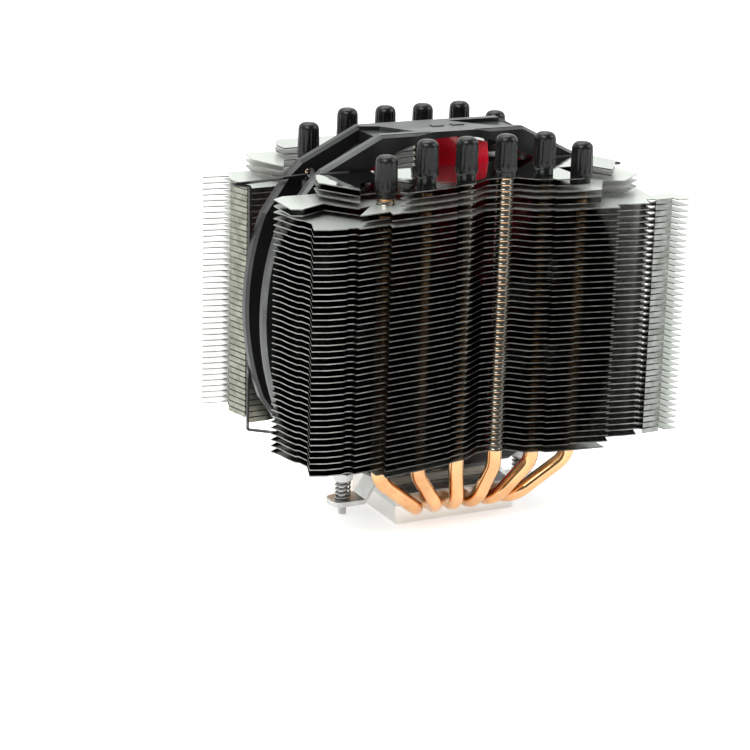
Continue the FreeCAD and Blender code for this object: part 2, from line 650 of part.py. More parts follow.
def make_pivot_screw():
    """The shouldered screw that the cross bar swivels on."""
    seat = BASE_PIPE_Z + COVER_HEIGHT
    thread = post(1.5, BASE_PIPE_Z + 3.5, seat + 0.5)
    shoulder = post(2.0, seat + 0.02, BAR_CENTRE_Z + BAR_THICKNESS + 0.05)
    head = post(4.0, BAR_CENTRE_Z + BAR_THICKNESS + 0.05, BAR_CENTRE_Z + BAR_THICKNESS + 1.7)
    socket = post(1.3, BAR_CENTRE_Z + BAR_THICKNESS + 0.7, BAR_CENTRE_Z + BAR_THICKNESS + 2)
    return thread.fuse([shoulder, head]).cut(socket).removeSplitter()


def make_spring_screw(x):
    """A shouldered screw with a knurled head; its retaining clip sits in a groove below the bar."""
    tip = post(SCREW_RADIUS, SCREW_TIP_Z, BAR_ARM_Z - 1.5, x)
    shank = post(SHANK_RADIUS, BAR_ARM_Z - 1.5, SCREW_HEAD_Z + 0.5, x)
    head = post(SCREW_HEAD_RADIUS, SCREW_HEAD_Z, SCREW_HEAD_Z + 3, x)
    slot = block((x - 5, -0.5, SCREW_HEAD_Z + 2), (x + 5, 0.5, SCREW_HEAD_Z + 4))
    cross = block((x - 0.5, -5, SCREW_HEAD_Z + 2), (x + 0.5, 5, SCREW_HEAD_Z + 4))
    groove = post(3, BAR_ARM_Z - 0.9, BAR_ARM_Z - 0.2, x).cut(post(1.5, 0, 20, x))
    return tip.fuse([shank, head]).cut([slot, cross.cut(slot), groove])


def make_retaining_clip(x):
    """An open ring that snaps into the screw's groove."""
    ring_low = BAR_ARM_Z - 0.85
    clip = post(3.4, ring_low, ring_low + 0.6, x).cut(post(1.53, 0, 20, x))
    return clip.cut(block((x - 1.0, 0, 0), (x + 1.0, 5, 20)))


def make_spring(x):
    """A coil spring between the bar and the screw's head."""
    low = BAR_ARM_Z + BAR_THICKNESS + SPRING_WIRE + 0.05
    height = SCREW_HEAD_Z - low - SPRING_WIRE - 0.05
    turns = 5
    helix = Part.makeHelix(height / turns, height, SPRING_RADIUS)
    section = Part.Wire(Part.makeCircle(SPRING_WIRE, vec(SPRING_RADIUS, 0, 0), BACKWARD))
    spring = helix.makePipeShell([section], True, True)
    spring.translate(vec(x, 0, low))
    return spring


def save_base():
    save(make_base_plate(), "base_plate")
    save(make_base_cover(), "base_cover")
    save(make_base_screws(), "base_screws")
    save(make_cross_bar(), "cross_bar")
    save(make_pivot_screw(), "cross_bar_pivot")
    for name, x in (("left", -SCREW_X), ("right", SCREW_X)):
        save(make_spring_screw(x), "spring_screw_" + name)
        save(make_spring(x), "spring_" + name)
        save(make_retaining_clip(x), "screw_clip_" + name)


def save_pipes():
    cap = make_cap()
    for number, column in enumerate(PIPE_COLUMNS, start=1):
        save(make_heat_pipe(column), "heat_pipe_%d" % number)
        for side, row_y in (("front", -ROW_Y), ("rear", ROW_Y)):
            copy = cap.copy()
            copy.translate(vec(column * PIPE_PITCH, row_y, cap_floor_z(column) + 0.02))
            save(copy, "%s_cap_%d" % (side, number))


os.makedirs("parts", exist_ok=True)
save_base()
save_pipes()
save_fin_stack("front", -ROW_Y)
save_fin_stack("rear", ROW_Y)
save_fan()
save(make_fan_pads(), "fan_pads")
save(make_wire_clip(-1), "wire_clip_left")
save(make_wire_clip(1), "wire_clip_right")
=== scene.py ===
import math

import bmesh
import bpy
from mathutils import Matrix, Vector


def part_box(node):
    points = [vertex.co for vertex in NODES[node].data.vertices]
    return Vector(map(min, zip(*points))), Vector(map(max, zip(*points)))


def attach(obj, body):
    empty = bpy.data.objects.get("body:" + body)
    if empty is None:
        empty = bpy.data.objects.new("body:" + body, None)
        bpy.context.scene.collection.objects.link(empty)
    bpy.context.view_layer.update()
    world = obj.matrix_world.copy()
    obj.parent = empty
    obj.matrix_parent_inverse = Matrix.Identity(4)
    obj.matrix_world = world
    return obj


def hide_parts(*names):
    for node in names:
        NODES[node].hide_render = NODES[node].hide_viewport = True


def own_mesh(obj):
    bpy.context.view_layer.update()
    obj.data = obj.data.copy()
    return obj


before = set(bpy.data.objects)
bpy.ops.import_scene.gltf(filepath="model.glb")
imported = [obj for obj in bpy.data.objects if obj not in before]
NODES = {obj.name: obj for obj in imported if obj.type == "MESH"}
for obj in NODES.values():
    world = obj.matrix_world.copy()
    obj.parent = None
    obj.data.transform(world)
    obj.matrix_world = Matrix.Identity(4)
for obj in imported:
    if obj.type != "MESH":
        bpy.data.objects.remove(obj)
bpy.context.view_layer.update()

MM = 0.001
FIN_PITCH = 2.45 * MM
FIN_THICKNESS = 0.4 * MM
FULL_FINS = 40
FAN_Z = 87.0 * MM
PIPES = range(1, 7)
SIDES = ("front", "rear")


# ---------------------------------------------------------------- material helpers

class Shader:
    """A Principled material with short calls for the procedural nodes that it needs."""

    def __init__(self, name):
        self.material = bpy.data.materials.new(name)
        self.material.use_nodes = True
        self.tree = self.material.node_tree
        self.surface = self.tree.nodes["Principled BSDF"]
        self.place = self.node("ShaderNodeTexCoord").outputs["Object"]

    def node(self, kind, **settings):
        made = self.tree.nodes.new(kind)
        for key, value in settings.items():
            setattr(made, key, value)
        return made

    def link(self, source, target):
        self.tree.links.new(source, target)

    def put(self, target, value):
        """Feeds an input with a number, a colour or another node's output."""
        if isinstance(value, bpy.types.NodeSocket):
            self.link(value, target)
        else:
            target.default_value = value

    def set(self, **values):
        for key, value in values.items():
            self.put(self.surface.inputs[key.replace("_", " ")], value)

    def scaled(self, x, y, z):
        """The object's coordinates, in metres, stretched along each axis."""
        mapping = self.node("ShaderNodeMapping")
        mapping.inputs["Scale"].default_value = (x, y, z)
        self.link(self.place, mapping.inputs["Vector"])
        return mapping.outputs["Vector"]

    def noise(self, scale, detail=3.0, place=None, roughness=0.55):
        made = self.node("ShaderNodeTexNoise")
        made.inputs["Scale"].default_value = scale
        made.inputs["Detail"].default_value = detail
        made.inputs["Roughness"].default_value = roughness
        self.link(place or self.place, made.inputs["Vector"])
        return made.outputs["Fac"]

    def wave(self, scale, direction="X", distortion=0.0, kind="BANDS", place=None):
        made = self.node("ShaderNodeTexWave", wave_type=kind)
        if kind == "BANDS":
            made.bands_direction = direction
        else:
            made.rings_direction = direction
        made.inputs["Scale"].default_value = scale
        made.inputs["Distortion"].default_value = distortion
        self.link(place or self.place, made.inputs["Vector"])
        return made.outputs["Fac"]

    def cells(self, scale, place=None):
        made = self.node("ShaderNodeTexVoronoi")
        made.inputs["Scale"].default_value = scale
        self.link(place or self.place, made.inputs["Vector"])
        return made.outputs["Distance"]

    def remap(self, source, low, high, start=0.0, end=1.0):
        """Moves a value from the range start..end to the range low..high."""
        made = self.node("ShaderNodeMapRange")
        self.link(source, made.inputs["Value"])
        made.inputs["From Min"].default_value = start
        made.inputs["From Max"].default_value = end
        made.inputs["To Min"].default_value = low
        made.inputs["To Max"].default_value = high
        return made.outputs["Result"]

    def math(self, operation, first, second=0.0):
        made = self.node("ShaderNodeMath", operation=operation)
        self.put(made.inputs[0], first)
        self.put(made.inputs[1], second)
        return made.outputs[0]

    def mix(self, share, first, second):
        """A colour between first and second."""
        made = self.node("ShaderNodeMix", data_type="RGBA")
        self.put(made.inputs["Factor"], share)
        self.put(made.inputs[6], first)
        self.put(made.inputs[7], second)
        return made.outputs[2]

    def blend(self, share, first, second):
        """A number between first and second."""
        made = self.node("ShaderNodeMix", data_type="FLOAT")
        self.put(made.inputs[0], share)
        self.put(made.inputs[2], first)
        self.put(made.inputs[3], second)
        return made.outputs[0]

    def position(self, axis):
        """The object's coordinate along one axis, in metres."""
        parts = self.node("ShaderNodeSeparateXYZ")
        self.link(self.place, parts.inputs[0])
        return parts.outputs[axis]

    def beyond(self, axis, start, end):
        """Rises from 0 to 1 as a coordinate goes from start to end, in mm."""
        return self.remap(self.position(axis), 0, 1, start * MM, end * MM)

    def short_of(self, axis, start, end):
        """Falls from 1 to 0 as a coordinate goes from start to end, in mm."""
        return self.remap(self.position(axis), 1, 0, start * MM, end * MM)

    def normal(self, axis):
        """How far a face looks along one axis, from -1 to 1."""
        geometry = self.node("ShaderNodeNewGeometry")
        parts = self.node("ShaderNodeSeparateXYZ")
        self.link(geometry.outputs["True Normal"], parts.inputs[0])
        return parts.outputs[axis]

    def facing_up(self):
        """1 on level faces and 0 on upright ones."""
        return self.remap(self.math("ABSOLUTE", self.normal("Z")), 0, 1, 0.4, 0.8)

    def looking_up(self):
        """1 where a face looks up and 0 where it looks down."""
        return self.remap(self.normal("Z"), 0, 1, -0.1, 0.1)

    def at_height(self, z):
        """1 close to one height and 0 elsewhere."""
        distance = self.math("ABSOLUTE", self.math("SUBTRACT", self.position("Z"), z))
        return self.remap(distance, 1, 0, 0.05 * MM, 0.15 * MM)

    def bump(self, height, distance, strength=1.0, before=None):
        made = self.node("ShaderNodeBump")
        self.put(made.inputs["Strength"], strength)
        made.inputs["Distance"].default_value = distance
        self.link(height, made.inputs["Height"])
        if before is not None:
            self.link(before, made.inputs["Normal"])
        return made.outputs["Normal"]


def grey(level, tint=(1.0, 1.0, 1.0)):
    return (level * tint[0], level * tint[1], level * tint[2], 1.0)


# ---------------------------------------------------------------- materials

def open_heights():
    """Heights of the faces that no fin covers: the lower group tops and the lowest undersides."""
    step_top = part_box("front_fins_step")[1][2]
    full_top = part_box("front_fins_full")[1][2]
    last_full = full_top - FIN_PITCH * (FULL_FINS - 1) - FIN_THICKNESS
    return [step_top, step_top - FIN_PITCH, full_top, last_full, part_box("front_fin_bottom")[0][2]]


def fin_metal():
    """Bright plated sheet, slightly wavy. Faces that others cover get painted shade, for the darkness of
    their mirroring each other.
    """
    s = Shader("fin_metal")
    cloud = s.noise(38.0, 4.0)
    rolling = s.noise(30.0, 4.0, s.scaled(60.0, 4.0, 4.0))
    patch = s.remap(cloud, 0, 1, 0.3, 0.7)
    level = s.facing_up()

    # painted light: the right tips and the open heights are painted pale and are satin, and the highest faces
    # are mirrors painted just as pale
    uncovered = s.beyond("X", 79, 82)
    for height in open_heights():
        uncovered = s.math("MAXIMUM", uncovered, s.at_height(height))
    highest = s.at_height(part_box("front_fins_top")[1][2])
    # painted shade: undersides darker than covered tops, and both darker than the open faces
    under = s.mix(patch, grey(0.09, (1.0, 0.96, 0.86)), grey(0.14, (1.0, 0.97, 0.88)))
    upper = s.mix(patch, grey(0.20, (0.98, 1.0, 0.95)), grey(0.28, (0.98, 1.0, 0.95)))
    lit_open_face = s.mix(patch, grey(0.60, (0.95, 1.0, 0.93)), grey(0.68, (0.95, 1.0, 0.94)))
    face = s.mix(s.looking_up(), under, upper)
    face = s.mix(s.math("MAXIMUM", uncovered, highest), face, lit_open_face)

    # painted shade: the front stack's right wing is painted darkest beside its folds
    wing_shade = s.math("MULTIPLY", s.beyond("X", 66, 71), s.short_of("X", 79, 82))
    wing_shade = s.math("MULTIPLY", wing_shade, s.short_of("Y", -12, -10))
    wing_shade = s.math("MULTIPLY", wing_shade, s.math("SUBTRACT", 1.0, uncovered))
    face = s.mix(wing_shade, face, grey(0.05, (1.0, 0.98, 0.92)))

    # painted reflection: the rear stack's left horn is a mirror painted bright
    horn_highlight = s.math("MULTIPLY", s.short_of("X", -70, -68.5), s.beyond("Y", 50, 53))
    face = s.mix(horn_highlight, face, grey(0.88, (1.0, 1.0, 0.98)))

    # the sheared edges have painted shade towards the middle and painted light near the sides, and the rear
    # stack's left folds are painted yellowish as a warm reflection
    shear = s.remap(s.noise(260.0, 3.0), 0, 1, 0.35, 0.65)
    shaded_inner_edge = s.mix(shear, grey(0.05, (1.0, 0.98, 0.90)), grey(0.13, (1.0, 0.99, 0.92)))
    lit_outer_edge = s.mix(shear, grey(0.20, (0.97, 1.0, 0.92)), grey(0.32, (0.97, 1.0, 0.94)))
    outside = s.remap(s.math("ABSOLUTE", s.position("X")), 0, 1, 50 * MM, 70 * MM)
    folded = s.math("MULTIPLY", s.short_of("X", -58, -56), s.beyond("Y", 20, 25))
    warm_reflection_edge = s.mix(shear, grey(0.18, (1.0, 1.0, 0.80)), grey(0.30, (1.0, 1.0, 0.84)))
    edge = s.mix(folded, s.mix(outside, shaded_inner_edge, lit_outer_edge), warm_reflection_edge)

    s.set(Base_Color=s.mix(level, edge, face))
    s.set(Metallic=s.blend(s.math("MULTIPLY", level, uncovered), 1.0, 0.45))
    covered_rough = s.math("ADD", s.remap(rolling, 0.12, 0.2), s.remap(cloud, 0.0, 0.04))
    face_rough = s.blend(uncovered, covered_rough, s.remap(cloud, 0.26, 0.34))
    mirror = s.math("MAXIMUM", horn_highlight, highest)
    s.set(Roughness=s.blend(level, 0.34, s.blend(mirror, face_rough, 0.05)))
    wavy = s.bump(s.noise(70.0, 2.0), 0.0004, 0.35)
    s.set(Normal=s.bump(rolling, 0.00001, s.blend(uncovered, 0.15, 0.02), wavy))
    return s.material


def collar_metal():
    """The same plating, drawn up round the pipes: painted darker as painted shade between the fins, with fine
    lines along each collar.
    """
    s = Shader("collar_metal")
    lines = s.noise(800.0, 3.0, s.scaled(6.0, 6.0, 0.3))
    tarnish = s.noise(60.0, 4.0)
    dark, bright = grey(0.30, (1.0, 0.93, 0.78)), grey(0.46, (1.0, 0.95, 0.82))
    s.set(Base_Color=s.mix(s.remap(tarnish, 0, 1, 0.35, 0.7), dark, bright))
    s.set(Metallic=1.0, Roughness=s.remap(lines, 0.1, 0.24), Normal=s.bump(lines, 0.00002, 0.3))
    return s.material


def copper():
    """Drawn copper with fine lines along the tube and a little darkening."""
    s = Shader("copper")
    lines = s.noise(300.0, 3.0, s.scaled(6.0, 6.0, 0.15))
    stain = s.noise(55.0, 4.0)
    bright = s.mix(s.remap(stain, 0, 1, 0.4, 0.75), (0.86, 0.50, 0.25, 1), (0.60, 0.31, 0.14, 1))
    s.set(Base_Color=bright, Metallic=1.0)
    s.set(Roughness=s.math("ADD", s.remap(lines, 0.06, 0.14), s.remap(stain, 0.0, 0.06)))
    s.set(Normal=s.bump(lines, 0.00003, 0.4))
    return s.material


def cap_plastic():
    """Black moulded plastic, glossy, with a faint grain and light dust."""
    s = Shader("cap_plastic")
    grain = s.noise(2400.0, 2.0)
    dust = s.noise(160.0, 5.0)
    black, dusty = grey(0.006, (0.9, 1.0, 0.98)), grey(0.016)
    s.set(Base_Color=s.mix(s.remap(dust, 0, 0.5, 0.5, 0.8), black, dusty))
    s.set(Roughness=s.math("ADD", s.remap(grain, 0.16, 0.26), s.remap(dust, 0.0, 0.1)))
    s.set(Specular_IOR_Level=0.32)
    s.set(Normal=s.bump(grain, 0.00003, 0.25))
    return s.material


def frame_plastic():
    """Black satin moulding with a fine spark-eroded grain, with a painted sheen on its bevels, and paler
    where dust settles and a painted sheen falls on up-facing faces.
    """
    s = Shader("frame_plastic")
    grain = s.noise(3000.0, 3.0)
    flow = s.noise(45.0, 3.0)
    black = s.mix(s.remap(flow, 0, 1, 0.3, 0.7), grey(0.006, (0.94, 1.0, 1.0)), grey(0.011))
    # painted sheen: slanted bevels are painted paler, and up-facing faces paler for dust and painted sheen
    across = s.math("ABSOLUTE", s.normal("Y"))
    slanted = s.math("MULTIPLY", s.remap(across, 0, 1, 0.3, 0.5), s.remap(across, 1, 0, 0.85, 0.95))
    sheen_and_dust_mask = s.math("MAXIMUM", slanted, s.remap(s.normal("Z"), 0, 0.8, 0.6, 0.95))
    # the paler colour is dust and painted sheen, paler still on the front side
    near = s.short_of("Y", 0, 2)
    dust = s.mix(near, grey(0.06, (0.94, 1.0, 0.98)), grey(0.16, (0.95, 1.0, 0.98)))
    s.set(Base_Color=s.mix(s.math("MULTIPLY", sheen_and_dust_mask, s.remap(flow, 0.5, 1.0, 0.35, 0.65)), black, dust))
    s.set(Roughness=s.math("ADD", s.remap(grain, 0.2, 0.3), s.remap(flow, 0.0, 0.08)))
    s.set(Specular_IOR_Level=0.3)
    s.set(Normal=s.bump(grain, 0.00004, 0.3))
    return s.material


def blade_plastic():
    """Saturated red plastic that lets a little light through."""
    s = Shader("blade_plastic")
    flow = s.noise(60.0, 3.0)
    grain = s.noise(2600.0, 2.0)
    light, dark = (1.0, 0.014, 0.05, 1), (0.88, 0.009, 0.034, 1)
    s.set(Base_Color=s.mix(s.remap(flow, 0, 1, 0.35, 0.65), light, dark))
    s.set(Roughness=s.remap(grain, 0.22, 0.34), Coat_Weight=0.4, Coat_Roughness=0.15)
    s.set(Subsurface_Weight=0.25, Subsurface_Radius=(0.004, 0.0008, 0.0008))
    s.set(Normal=s.bump(grain, 0.00003, 0.2))
    return s.material


def steel(name, tone, direction, roughness=0.28):
    """Plated steel with fine brushed lines along one axis."""
    s = Shader(name)
    stretch = {"X": (0.3, 20.0, 20.0), "Y": (20.0, 0.3, 20.0), "Z": (20.0, 20.0, 0.3)}[direction]
    lines = s.noise(120.0, 4.0, s.scaled(*stretch))
    wear = s.noise(90.0, 4.0)
    clean, worn = grey(tone), grey(tone * 0.75, (1.0, 0.98, 0.95))
    s.set(Base_Color=s.mix(s.remap(wear, 0, 1, 0.35, 0.7), clean, worn))
    s.set(Metallic=1.0, Roughness=s.remap(lines, roughness - 0.07, roughness + 0.12))
    s.set(Normal=s.bump(lines, 0.00002, 0.4))
    return s.material


def wire_steel():
    """Blackened spring wire with drawing marks and rubbed bright spots."""
    s = Shader("wire_steel")
    marks = s.noise(500.0, 3.0, s.scaled(4.0, 4.0, 0.3))
    rub = s.remap(s.noise(130.0, 3.0), 0, 1, 0.58, 0.72)
    s.set(Base_Color=s.mix(rub, grey(0.05), grey(0.22)), Metallic=0.9)
    s.set(Roughness=s.remap(marks, 0.22, 0.4), Normal=s.bump(marks, 0.00003, 0.4))
    return s.material


def base_metal():
    """Polished nickel plate with the faint rings of facing cuts."""
    s = Shader("base_metal")
    rings = s.wave(900.0, "Z", 0.4, "RINGS")
    haze = s.noise(60.0, 4.0)
    bright, dull = grey(0.78, (1.0, 0.98, 0.94)), grey(0.68, (1.0, 0.97, 0.92))
    s.set(Base_Color=s.mix(s.remap(haze, 0, 1, 0.3, 0.7), bright, dull))
    s.set(Metallic=1.0, Roughness=s.math("ADD", s.remap(rings, 0.05, 0.1), s.remap(haze, 0.0, 0.06)))
    s.set(Normal=s.bump(rings, 0.000006, 0.5))
    return s.material


def cover_metal():
    """Milled aluminium with straight tool marks."""
    s = Shader("cover_metal")
    passes = s.wave(420.0, "X", 1.2)
    grit = s.noise(1400.0, 3.0)
    s.set(Base_Color=s.mix(s.remap(passes, 0, 1), grey(0.62), grey(0.74, (0.98, 1.0, 1.0))), Metallic=1.0)
    s.set(Roughness=s.math("ADD", s.remap(passes, 0.26, 0.36), s.remap(grit, 0.0, 0.08)))
    s.set(Normal=s.bump(passes, 0.00002, 0.4))
    return s.material


def rubber():
    """Matt black rubber with a pebbled face."""
    s = Shader("pad_rubber")
    pebble = s.cells(1800.0)
    bloom = s.noise(140.0, 4.0)
    s.set(Base_Color=s.mix(s.remap(bloom, 0, 1, 0.4, 0.8), grey(0.02), grey(0.05)))
    s.set(Roughness=s.remap(pebble, 0.65, 0.85), Normal=s.bump(pebble, 0.00006, 0.5))
    return s.material


def turned_metal(name, colour):
    """Turned metal with fine rings about the fan's axis."""
    s = Shader(name)
    rings = s.noise(400.0, 3.0, s.scaled(0.4, 9.0, 0.4))
    groove = tuple(part * 0.8 for part in colour[:3]) + (1.0,)
    s.set(Base_Color=s.mix(rings, colour, groove), Metallic=1.0)
    s.set(Roughness=s.remap(rings, 0.2, 0.38), Normal=s.bump(rings, 0.00002, 0.4))
    return s.material


def laminations():
    """Stacked steel sheets, seen as thin dark lines across the fan's axis."""
    s = Shader("core_steel")
    sheets = s.wave(320.0, "Y")
    gap = s.remap(sheets, 0, 1, 0.05, 0.25)
    s.set(Base_Color=s.mix(gap, grey(0.06), grey(0.42)), Metallic=0.9)
    s.set(Roughness=s.remap(s.noise(700.0), 0.3, 0.5), Normal=s.bump(sheets, 0.00005, 0.6))
    return s.material


def windings():
    """Lacquered copper wire laid side by side."""
    s = Shader("windings")
    turns = s.wave(620.0, "Z", 0.6)
    s.set(Base_Color=s.mix(turns, (0.28, 0.10, 0.04, 1), (0.80, 0.36, 0.15, 1)), Metallic=0.85)
    s.set(Roughness=s.remap(turns, 0.45, 0.22), Normal=s.bump(turns, 0.00012, 0.8))
    return s.material


def circuit_board():
    """Green lacquer over a pattern of tracks."""
    s = Shader("board")
    bricks = s.node("ShaderNodeTexBrick")
    s.link(s.scaled(1.0, 1.0, 1.0), bricks.inputs["Vector"])
    bricks.inputs["Scale"].default_value = 260.0
    bricks.inputs["Mortar Size"].default_value = 0.06
    tracks = bricks.outputs["Fac"]
    weave = s.noise(1600.0, 2.0)
    s.set(Base_Color=s.mix(tracks, (0.008, 0.09, 0.035, 1), (0.03, 0.2, 0.08, 1)))
    s.set(Roughness=s.remap(weave, 0.28, 0.42), Coat_Weight=0.5, Normal=s.bump(tracks, 0.00003, 0.5))
    return s.material


def magnet():
    """Dark bonded ferrite with a granular break-up."""
    s = Shader("magnet")
    grains = s.cells(2200.0)
    s.set(Base_Color=s.mix(grains, grey(0.03), grey(0.09, (1.0, 0.98, 0.96))))
    s.set(Metallic=0.3, Roughness=s.remap(grains, 0.5, 0.7), Normal=s.bump(grains, 0.00004, 0.5))
    return s.material


def label():
    """A blank dark label with plain concentric rings."""
    s = Shader("hub_label")
    centre = s.node("ShaderNodeMapping")
    centre.inputs["Location"].default_value = (0.0, 0.0, -FAN_Z)
    s.link(s.place, centre.inputs["Vector"])
    rings = s.wave(70.0, "Y", 0.0, "RINGS", centre.outputs["Vector"])
    line = s.remap(rings, 0, 1, 0.9, 0.97)
    fibre = s.noise(1500.0, 3.0)
    s.set(Base_Color=s.mix(line, grey(0.02), grey(0.3)), Roughness=s.remap(fibre, 0.3, 0.45))
    s.set(Metallic=0.2, Normal=s.bump(fibre, 0.00002, 0.3))
    return s.material


FIN = fin_metal()
COLLAR = collar_metal()
COPPER = copper()
CAP = cap_plastic()
FRAME = frame_plastic()
BLADE = blade_plastic()
SCREW = steel("screw_steel", 0.62, "Z")
BAR = steel("bar_steel", 0.66, "X")
SPRING = steel("spring_steel", 0.42, "Z", 0.3)
WIRE = wire_steel()
BASE = base_metal()
COVER = cover_metal()
RUBBER = rubber()
BEARING = turned_metal("bearing_metal", (0.78, 0.60, 0.30, 1.0))
SHAFT = turned_metal("shaft_steel", (0.70, 0.70, 0.70, 1.0))
CORE = laminations()
WINDINGS = windings()
BOARD = circuit_board()
MAGNET = magnet()
LABEL = label()


def dress(material, *names):
    """Gives CAD nodes their finished material."""
    for name in names:
        slots = NODES[name].data.materials
        slots.clear()
        slots.append(material)


for side in SIDES:
    dress(FIN, side + "_fins_top", side + "_fins_step", side + "_fins_full", side + "_fin_bottom")
for number in PIPES:
    dress(COPPER, "heat_pipe_%d" % number)
dress(FRAME, "fan_frame")
dress(BLADE, "impeller")
dress(SCREW, "base_screws", "cross_bar_pivot", "spring_screw_left", "spring_screw_right")
dress(BAR, "cross_bar")
dress(SPRING, "screw_clip_left", "screw_clip_right", "shaft_ring", "spring_left", "spring_right")
dress(WIRE, "wire_clip_left", "wire_clip_right")
dress(BASE, "base_plate")
dress(COVER, "base_cover")
dress(RUBBER, "fan_pads")
dress(BEARING, "bearing_housing", "sleeve_bearing")
dress(SHAFT, "fan_shaft")
dress(CORE, "stator_core", "rotor_steel_ring")
dress(WINDINGS, "stator_windings")
dress(BOARD, "fan_circuit_board")
dress(MAGNET, "rotor_magnet")
dress(LABEL, "hub_label")


# ---------------------------------------------------------------- mesh helpers

def new_piece(name, mesh_builder, material, body, slot, *replaced):
    """Makes an object from a bmesh, puts it on a body and lets it stand for CAD nodes."""
    mesh = bpy.data.meshes.new(name)
    mesh_builder.normal_update()
    mesh_builder.to_mesh(mesh)
    mesh_builder.free()
    for polygon in mesh.polygons:
        polygon.use_smooth = True
    mesh.materials.append(material)
    piece = bpy.data.objects.new(name, mesh)
    bpy.context.scene.collection.objects.link(piece)
    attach(piece, body)
    if replaced:
        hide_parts(*replaced)
    return piece


def sharpen(piece, degrees):
    """Keeps edges crisp where two faces meet at more than this angle."""
    piece.data.set_sharp_from_angle(angle=math.radians(degrees))


def soften(name, width, segments=2):
    """Rounds a CAD node's hard edges a little."""
    bevel = NODES[name].modifiers.new("soft_edges", "BEVEL")
    bevel.width = width
    bevel.segments = segments
    bevel.limit_method = "ANGLE"
    bevel.angle_limit = math.radians(35)
    bevel.harden_normals = False


def add_lathe(bm, rings, segments, closed=False):
    """Joins rings of points into a skin; a ring is a list of segments points or a single point."""
    rows = [[bm.verts.new(point) for point in ring] for ring in rings]
    pairs = list(zip(rows, rows[1:]))
    if closed:
        pairs.append((rows[-1], rows[0]))
    for lower, upper in pairs:
        for index in range(segments):
            after = (index + 1) % segments
            corners = [lower[index % len(lower)], lower[after % len(lower)],
                       upper[after % len(upper)], upper[index % len(upper)]]
            unique = list(dict.fromkeys(corners))
            if len(unique) > 2:
                bm.faces.new(unique)


def upright_ring(centre, radius, z, segments, flute_depth=0.0, flutes=12):
    """A level ring of points, pulled in by rounded flutes."""
    points = []
    for index in range(segments):
        angle = 2 * math.pi * index / segments
        dip = flute_depth * max(0.0, -math.cos(angle * flutes)) ** 0.8
        reach = radius - dip
        points.append((centre[0] + reach * math.cos(angle), centre[1] + reach * math.sin(angle), z))
    return points


def middle(node):
    """A node's centre, seen from above."""
    low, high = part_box(node)
    return ((low[0] + high[0]) / 2, (low[1] + high[1]) / 2)


# ---------------------------------------------------------------- pipe caps

CAP_SEGMENTS = 144
BORE_SHARE = 0.690
FLUTE_DEPTH = 0.34 * MM
FLUTE_START = 4.8 * MM
CAP_DOME = 2.9 * MM
CAP_NECK = [(BORE_SHARE, 0.0, 0.0), (0.835, 0.0, 0.0), (0.841, 0.1, 0.0), (0.841, 1.8, 0.0),
            (0.86, 1.95, 0.0), (0.93, 2.15, 0.0), (0.965, 2.5, 0.0), (0.99, 3.2, 0.0),
            (1.0, 4.2, 0.25), (1.0, 4.8, 0.8)]


def build_cap(side, number):
    """One domed, fluted cap with a turned-in neck and an open bore."""
    node = "%s_cap_%d" % (side, number)
    low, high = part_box(node)
    centre = middle(node)
    radius = (high[0] - low[0]) / 2
    height = high[2] - low[2]
    shoulder = height - CAP_DOME

    def ring(share, z, flute=0.0):
        return upright_ring(centre, radius * share, low[2] + z, CAP_SEGMENTS, flute * FLUTE_DEPTH)

    rings = [ring(share, z * MM, flute) for share, z, flute in CAP_NECK]
    side_steps = 6
    for step in range(1, side_steps + 1):
        z = FLUTE_START + (shoulder - FLUTE_START) * step / side_steps
        rings.append(ring(1.0 - 0.045 * step / side_steps, z, 0.8 if step < side_steps else 0.45))
    dome_steps = 10
    for step in range(1, dome_steps):
        angle = math.pi / 2 * step / dome_steps
        z = shoulder + (height - shoulder) * math.sin(angle)
        rings.append(ring(0.955 * math.cos(angle) ** 0.62, z, max(0.0, 0.3 - 0.15 * step)))
    rings.append([(centre[0], centre[1], low[2] + height)])
    bore_top = height - 2.4 * MM
    bore_end = [(centre[0], centre[1], low[2] + bore_top)]
    bore = [bore_end, ring(BORE_SHARE, bore_top), ring(BORE_SHARE, 0.3 * MM)]
    bm = bmesh.new()
    add_lathe(bm, bore + rings, CAP_SEGMENTS)
    bmesh.ops.recalc_face_normals(bm, faces=bm.faces)
    new_piece(node + "_shell", bm, CAP, "cooler", "cap_plastic", node)


for side in SIDES:
    for number in PIPES:
        build_cap(side, number)


# ---------------------------------------------------------------- fin collars

LEVELS = 46
OUTER_PIPE_LEVEL = 2
COLLAR_SEGMENTS = 28
COLLAR_PROFILE = [(3.04, 0.0), (3.75, 0.0), (3.45, 0.12), (3.34, 0.4), (3.32, 1.42), (3.26, 1.5), (3.04, 1.5)]


def build_collars(side):
    """The drawn collars round the pipes, one standing on each fin but the topmost that the pipe passes."""
    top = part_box(side + "_fins_top")[1][2]
    bm = bmesh.new()
    for number in PIPES:
        centre = middle("%s_cap_%d" % (side, number))
        first = OUTER_PIPE_LEVEL if number in (1, 6) else 0
        for level in range(first + 1, LEVELS):
            floor = top - level * FIN_PITCH
            rings = [upright_ring(centre, radius * MM, floor + z * MM, COLLAR_SEGMENTS)
                     for radius, z in COLLAR_PROFILE]
            add_lathe(bm, rings, COLLAR_SEGMENTS, closed=True)
    bmesh.ops.recalc_face_normals(bm, faces=bm.faces)
    new_piece(side + "_fin_collars", bm, COLLAR, "cooler", "fin_metal")


for side in SIDES:
    build_collars(side)


# ---------------------------------------------------------------- fin folds

FOLD_PROFILE = [(0.0, 0.0), (0.0, -1.3), (0.05, -1.45), (0.15, -1.5), (0.25, -1.45), (0.3, -1.3),
                (0.3, 0.0)]
FOLD_CORNERS = [(84.6, 1.8), (74.8, -1.7), (75.1, 0.5)]


